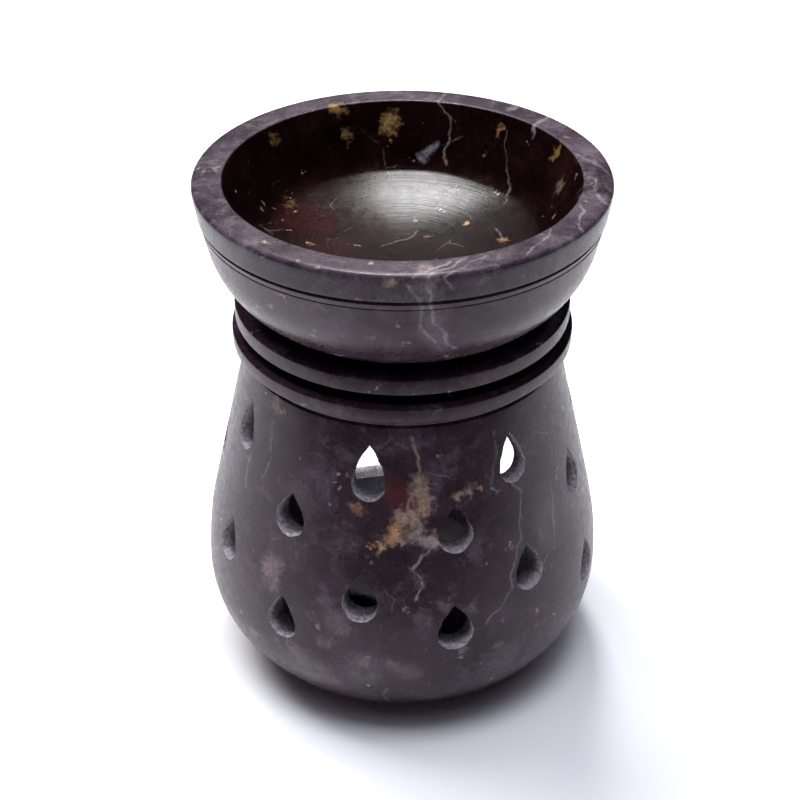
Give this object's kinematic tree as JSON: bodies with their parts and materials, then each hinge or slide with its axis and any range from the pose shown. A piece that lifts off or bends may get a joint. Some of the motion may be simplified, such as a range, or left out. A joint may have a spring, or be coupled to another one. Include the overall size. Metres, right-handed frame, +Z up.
{
  "type": "essential oil burner",
  "caption": "Turned soapstone oil burner: a pot pierced with teardrops, with an arched rear doorway for its tea light, and a lift-off dish seated on a double-ringed collar.",
  "frame": {"origin": "centre of the flat foot, on the face that the pot stands on", "axes": "+Z up along the axis that pot and dish are turned about; +Y out through the middle of the tea-light doorway at the back"},
  "size_m": [0.0836, 0.0821, 0.1097],
  "materials": {
    "pot_soapstone": "waxed and polished, dark purple-brown with pale veins",
    "bowl_soapstone": "waxed and polished, dark purple-brown with pale veins",
    "cup_aluminium": "drawn thin sheet",
    "candle_wax": "satin cast paraffin wax",
    "wick_cotton": "braided, waxed",
    "tin_plate": "stamped tinned sheet"
  },
  "bodies": {
    "base": {"base_pot": "pot_soapstone"},
    "bowl": {"oil_bowl": "bowl_soapstone"},
    "tea_light": {"tealight_cup": "cup_aluminium", "tealight_wax": "candle_wax", "tealight_wick": "wick_cotton", "wick_sustainer": "tin_plate"}
  },
  "joints": [
    {"name": "bowl_lift", "type": "slide", "parent": "base", "child": "bowl", "axis": [0, 0, 1], "range_m": [0, 0.04]},
    {"name": "tealight_draw", "type": "slide", "parent": "base", "child": "tea_light", "axis": [0, 0.9848, 0.1736], "range_m": [0, 0.072]}
  ]
}
